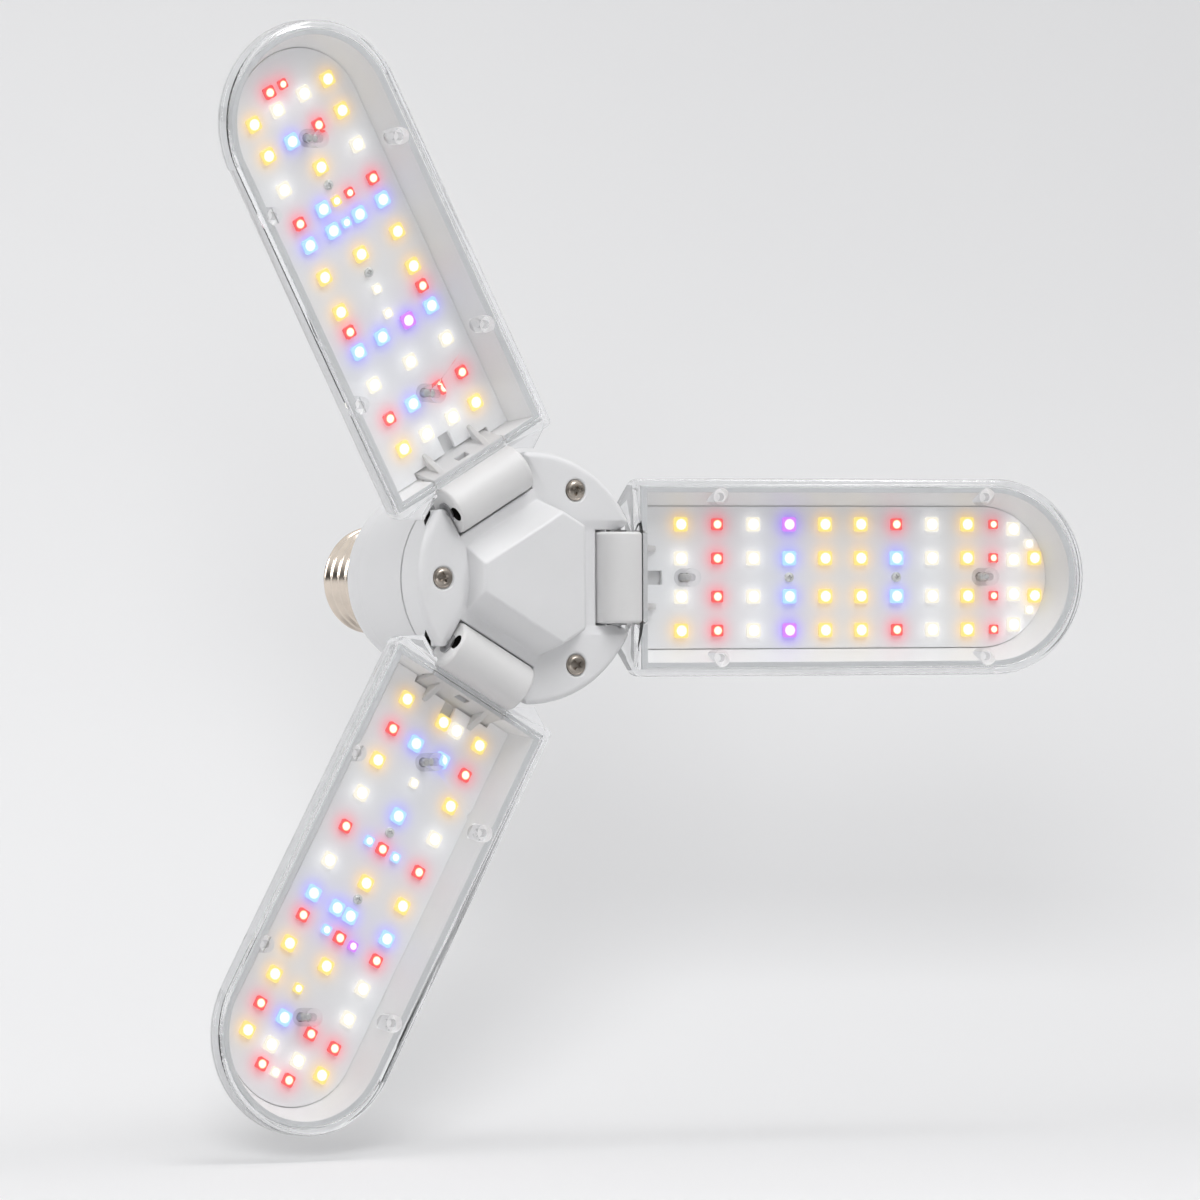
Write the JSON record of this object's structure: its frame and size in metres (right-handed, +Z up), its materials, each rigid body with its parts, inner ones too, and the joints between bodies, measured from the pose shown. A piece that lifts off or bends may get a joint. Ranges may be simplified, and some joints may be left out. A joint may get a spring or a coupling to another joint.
{
  "type": "foldable led grow light",
  "caption": "Screw-base LED grow light: a round hub with a raised centre carries hinged tongue-shaped wings with clear covers over coloured LED boards.",
  "frame": {"origin": "tip of the centre contact, on the lamp's axis", "axes": "+Y along the lamp's axis, out of the screw base and into the socket; the light side faces -Y; +Z up as pictured; +X along the right-hand wing as seen from the light side"},
  "size_m": [0.2331, 0.1085, 0.2625],
  "materials": {
    "hub_plastic": "white, fine moulded texture",
    "arm_plastic": "white, fine moulded texture",
    "tray_grey": "satin pale grey coating",
    "clear_cover": "clear polycarbonate",
    "board_white": "white solder mask",
    "led_white": "lit, cool white",
    "led_warm": "lit, warm white",
    "led_red": "lit, red",
    "led_blue": "lit, blue",
    "led_violet": "lit, violet",
    "screw_steel": "dull zinc",
    "pin_steel": "plain steel",
    "shell_nickel": "rolled nickel plate",
    "insulator_black": "smooth",
    "contact_solder": "tinned",
    "driver_green": "solder mask",
    "coil_yellow": "taped winding",
    "capacitor_blue": "sleeve",
    "part_orange": "cast resin",
    "lead_red": "insulated lead",
    "connector_ivory": "moulded"
  },
  "bodies": {
    "hub": {"front_cover": "hub_plastic", "hub_body": "hub_plastic", "rear_housing": "hub_plastic", "housing_screws": "screw_steel", "hinge_pins": "pin_steel", "hinge_washers": "pin_steel", "screw_shell": "shell_nickel", "base_insulator": "insulator_black", "centre_contact": "contact_solder", "driver_board": "driver_green", "driver_coil": "coil_yellow", "driver_capacitor": "capacitor_blue", "driver_parts": "part_orange", "supply_leads": "lead_red"},
    "wing_right": {"arm_right": "arm_plastic", "tray_right": "tray_grey", "cover_right": "clear_cover", "board_right": "board_white", "leds_white_right": "led_white", "leds_warm_right": "led_warm", "leds_red_right": "led_red", "leds_blue_right": "led_blue", "leds_violet_right": "led_violet", "board_screws_right": "screw_steel", "cover_screws_right": "screw_steel", "arm_screws_right": "screw_steel", "connector_right": "connector_ivory"},
    "wing_upper": {"arm_upper": "arm_plastic", "tray_upper": "tray_grey", "cover_upper": "clear_cover", "board_upper": "board_white", "leds_white_upper": "led_white", "leds_warm_upper": "led_warm", "leds_red_upper": "led_red", "leds_blue_upper": "led_blue", "leds_violet_upper": "led_violet", "board_screws_upper": "screw_steel", "cover_screws_upper": "screw_steel", "arm_screws_upper": "screw_steel", "connector_upper": "connector_ivory"},
    "wing_lower": {"arm_lower": "arm_plastic", "tray_lower": "tray_grey", "cover_lower": "clear_cover", "board_lower": "board_white", "leds_white_lower": "led_white", "leds_warm_lower": "led_warm", "leds_red_lower": "led_red", "leds_blue_lower": "led_blue", "leds_violet_lower": "led_violet", "board_screws_lower": "screw_steel", "cover_screws_lower": "screw_steel", "arm_screws_lower": "screw_steel", "connector_lower": "connector_ivory"}
  },
  "joints": [
    {"name": "fold_right", "type": "hinge", "parent": "hub", "child": "wing_right", "pos_m": [0.0245, -0.09005, 0], "axis": [0, 0, -1], "range_deg": [-8, 82]},
    {"name": "fold_upper", "type": "hinge", "parent": "hub", "child": "wing_upper", "pos_m": [-0.01225, -0.09005, 0.02122], "axis": [0.866, 0, 0.5], "range_deg": [-5, 85]},
    {"name": "fold_lower", "type": "hinge", "parent": "hub", "child": "wing_lower", "pos_m": [-0.01225, -0.09005, -0.02122], "axis": [-0.866, 0, 0.5], "range_deg": [-2, 88]}
  ]
}
